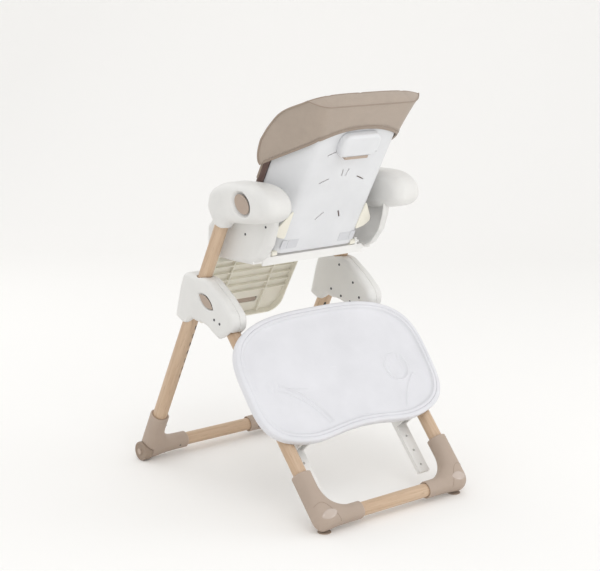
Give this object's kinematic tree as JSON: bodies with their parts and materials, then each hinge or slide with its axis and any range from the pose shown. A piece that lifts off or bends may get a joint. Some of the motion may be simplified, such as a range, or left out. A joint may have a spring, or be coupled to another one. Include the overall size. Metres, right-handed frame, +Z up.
{
  "type": "baby high chair",
  "caption": "Folding high chair: A-frame legs with hubs and wheels, height-sliding seat with armrests, reclining back with hood, legrest, and a tray parked on the rear legs.",
  "frame": {"origin": "middle of the footprint on the floor", "axes": "+Z up; the sitter faces -Y; the sitter's left is +X; +Y points out of the back of the chair"},
  "size_m": [0.626, 0.8099, 1.053],
  "materials": {
    "wood_tube": "steel tube in wood-grain film",
    "white_plastic": "fine satin moulding",
    "cream_plastic": "satin moulding",
    "taupe_plastic": "fine spark-eroded grain",
    "taupe_rubber": "matt",
    "dark_rubber": "matt",
    "tray_plastic": "smooth gloss",
    "steel": "zinc plated",
    "pom": "slippery black moulding",
    "leatherette": "soft matt grain",
    "pad_leatherette": "soft matt grain",
    "webbing": "woven",
    "sticker": "matt film"
  },
  "bodies": {
    "front_frame": {"front_tube_left": "wood_tube", "front_tube_right": "wood_tube", "front_cross_tube": "wood_tube", "front_boot_left": "taupe_plastic", "front_boot_right": "taupe_plastic", "wheel_axles": "steel", "hub_outer_left": "white_plastic", "hub_outer_right": "white_plastic", "hub_inner_left": "white_plastic", "hub_inner_right": "white_plastic", "hub_pins": "steel", "hub_screws": "steel"},
    "wheel_l": {"wheel_left": "taupe_rubber"},
    "wheel_r": {"wheel_right": "taupe_rubber"},
    "fold_press_l": {"fold_button_left": "taupe_plastic"},
    "fold_press_r": {"fold_button_right": "taupe_plastic"},
    "rear_frame": {"rear_leg_left": "wood_tube", "rear_leg_right": "wood_tube", "rear_cross_tube": "wood_tube", "rear_boot_left": "taupe_plastic", "rear_boot_right": "taupe_plastic", "rear_leg_lugs": "pom", "rear_glides": "dark_rubber", "boot_badges": "taupe_plastic", "boot_screws": "steel"},
    "seat": {"upper_tube_left": "wood_tube", "upper_tube_right": "wood_tube", "tube_bushes": "pom", "height_pins": "steel", "armrest_left": "white_plastic", "armrest_right": "white_plastic", "side_panel_left": "white_plastic", "side_panel_right": "white_plastic", "seat_pan": "cream_plastic", "side_screws": "steel", "seat_pad": "pad_leatherette", "lap_belt": "webbing", "buckle": "pom", "back_hinge_pins": "steel", "legrest_pins": "steel"},
    "height_press_l": {"height_button_left": "taupe_plastic"},
    "height_press_r": {"height_button_right": "taupe_plastic"},
    "backrest": {"back_shell": "white_plastic", "handle_housing": "white_plastic", "back_pad": "pad_leatherette", "hood": "leatherette", "shoulder_straps": "webbing", "label_plates": "sticker"},
    "recline_grip": {"recline_lever": "taupe_plastic"},
    "legrest": {"legrest_panel": "cream_plastic", "legrest_pad": "pad_leatherette", "footrest_rod": "steel"},
    "foot_shelf": {"footrest": "taupe_plastic"},
    "tray": {"tray_base": "tray_plastic", "tray_arm_left": "white_plastic", "tray_arm_right": "white_plastic", "tray_screws": "steel"},
    "tray_top": {"tray_insert": "tray_plastic"},
    "tray_catch": {"tray_release": "taupe_plastic"}
  },
  "joints": [
    {"name": "fold", "type": "hinge", "parent": "front_frame", "child": "rear_frame", "pos_m": [0, -0.04984, 0.52], "axis": [1, 0, 0], "range_deg": [-62, 0]},
    {"name": "seat_height", "type": "slide", "parent": "front_frame", "child": "seat", "axis": [0, -0.4617, -0.887], "range_m": [0, 0.142]},
    {"name": "recline", "type": "hinge", "parent": "seat", "child": "backrest", "pos_m": [0, 0.06, 0.64288], "axis": [1, 0, 0], "range_deg": [-30, 12]},
    {"name": "legrest_tilt", "type": "hinge", "parent": "seat", "child": "legrest", "pos_m": [0, -0.17, 0.606], "axis": [1, 0, 0], "range_deg": [-52, 0]},
    {"name": "footrest_fold", "type": "hinge", "parent": "legrest", "child": "foot_shelf", "pos_m": [0, -0.31394, 0.42468], "axis": [1, 0, 0], "range_deg": [-80, 0]},
    {"name": "tray_lift", "type": "slide", "parent": "rear_frame", "child": "tray", "axis": [0, 0.7513, 0.66], "range_m": [0, 0.09]},
    {"name": "tray_top_lift", "type": "slide", "parent": "tray", "child": "tray_top", "axis": [0, 0.788, 0.6157], "range_m": [0, 0.05]},
    {"name": "tray_catch_pull", "type": "slide", "parent": "tray", "child": "tray_catch", "axis": [0, 0.6157, -0.788], "range_m": [0, 0.008], "stiffness_N_per_m": 400},
    {"name": "recline_squeeze", "type": "slide", "parent": "backrest", "child": "recline_grip", "axis": [0, 0.4848, 0.8746], "range_m": [0, 0.007], "stiffness_N_per_m": 400},
    {"name": "wheel_spin_l", "type": "hinge", "parent": "front_frame", "child": "wheel_l", "pos_m": [0, -0.378, 0.027], "axis": [1, 0, 0], "continuous": true},
    {"name": "wheel_spin_r", "type": "hinge", "parent": "front_frame", "child": "wheel_r", "pos_m": [0, -0.378, 0.027], "axis": [1, 0, 0], "continuous": true},
    {"name": "fold_button_push_l", "type": "slide", "parent": "front_frame", "child": "fold_press_l", "axis": [-1, 0, 0], "range_m": [0, 0.002], "stiffness_N_per_m": 600},
    {"name": "fold_button_push_r", "type": "slide", "parent": "front_frame", "child": "fold_press_r", "axis": [1, 0, 0], "range_m": [0, 0.002], "stiffness_N_per_m": 600},
    {"name": "height_button_push_l", "type": "slide", "parent": "seat", "child": "height_press_l", "axis": [-1, 0, 0], "range_m": [0, 0.004], "stiffness_N_per_m": 600},
    {"name": "height_button_push_r", "type": "slide", "parent": "seat", "child": "height_press_r", "axis": [1, 0, 0], "range_m": [0, 0.004], "stiffness_N_per_m": 600}
  ]
}
